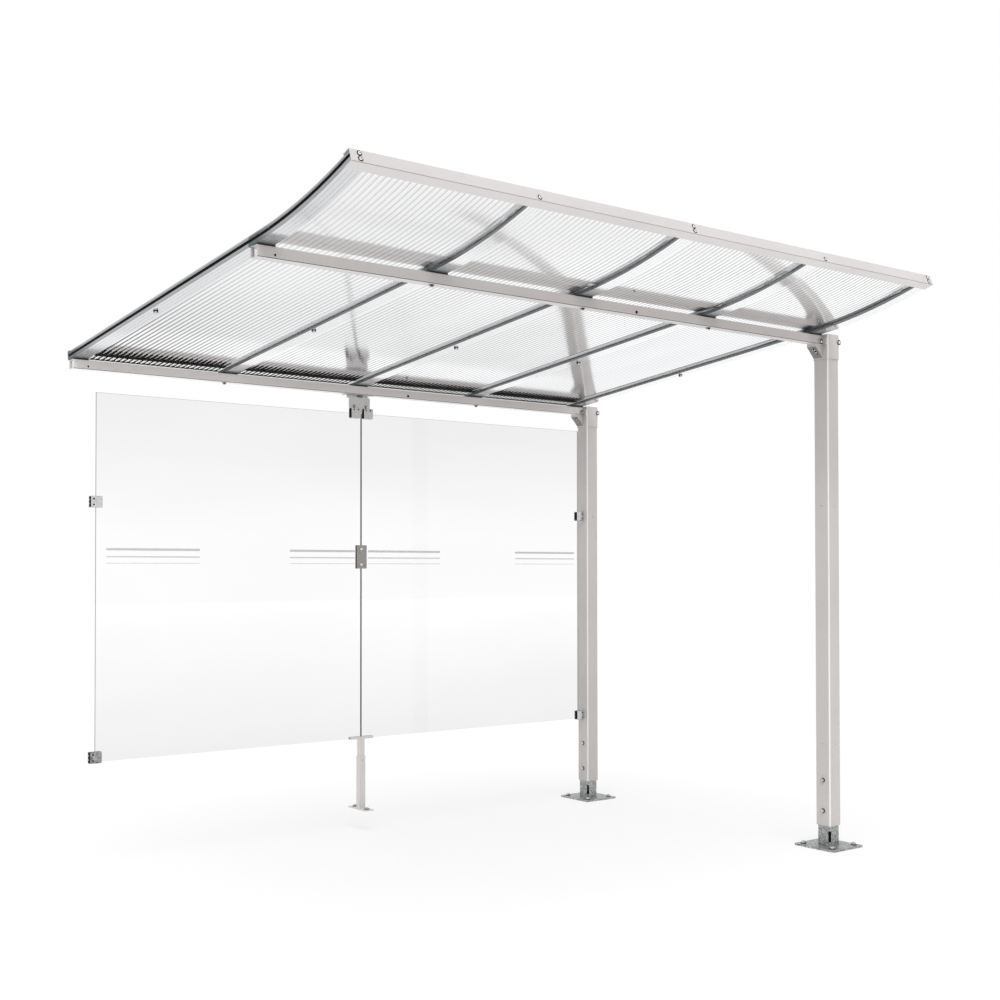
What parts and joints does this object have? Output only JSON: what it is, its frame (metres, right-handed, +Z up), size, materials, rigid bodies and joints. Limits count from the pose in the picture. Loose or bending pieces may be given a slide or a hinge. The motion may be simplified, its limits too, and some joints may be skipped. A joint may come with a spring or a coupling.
{
  "type": "bicycle shelter",
  "caption": "Open bicycle shelter bay with square posts, two beams, a ribbed clear roof that turns up at the front, and a glass back wall.",
  "frame": {"origin": "middle of the underside of the rear base plate", "axes": "+X along the beams towards the posts, +Y from the open front to the glass back wall, +Z up"},
  "size_m": [3.265, 2.3866, 2.6504],
  "materials": {
    "painted_steel": "satin",
    "galvanised_steel": "matte",
    "clamp_metal": "satin",
    "rail_aluminium": "satin",
    "rail_rubber": "matte",
    "panel_polycarbonate": "gloss",
    "wall_glass": "gloss"
  },
  "bodies": {
    "root": {"rear_base_plate": "galvanised_steel", "front_base_plate": "galvanised_steel", "rear_stub": "galvanised_steel", "front_stub": "galvanised_steel", "rear_post": "painted_steel", "front_post": "painted_steel", "rear_head_bracket": "painted_steel", "front_head_bracket": "painted_steel", "rear_beam": "painted_steel", "front_beam": "painted_steel", "rear_wedges": "rail_rubber", "front_wedges": "rail_rubber", "eave_channel": "painted_steel", "rear_channel": "painted_steel", "rail_1": "rail_aluminium", "rail_2": "rail_aluminium", "rail_3": "rail_aluminium", "rail_4": "rail_aluminium", "rail_5": "rail_aluminium", "rail_gasket_1": "rail_rubber", "rail_gasket_2": "rail_rubber", "rail_gasket_3": "rail_rubber", "rail_gasket_4": "rail_rubber", "rail_gasket_5": "rail_rubber", "rail_cap_1": "rail_aluminium", "rail_cap_2": "rail_aluminium", "rail_cap_3": "rail_aluminium", "rail_cap_4": "rail_aluminium", "rail_cap_5": "rail_aluminium", "roof_panel_1": "panel_polycarbonate", "roof_panel_2": "panel_polycarbonate", "roof_panel_3": "panel_polycarbonate", "roof_panel_4": "panel_polycarbonate", "glass_left": "wall_glass", "glass_right": "wall_glass", "left_clamps": "clamp_metal", "right_clamps": "clamp_metal", "centre_clip": "clamp_metal", "centre_hanger": "clamp_metal", "leg_plate": "painted_steel", "leg_sleeve": "painted_steel", "leg_tube": "painted_steel", "leg_head": "painted_steel"}
  },
  "joints": []
}
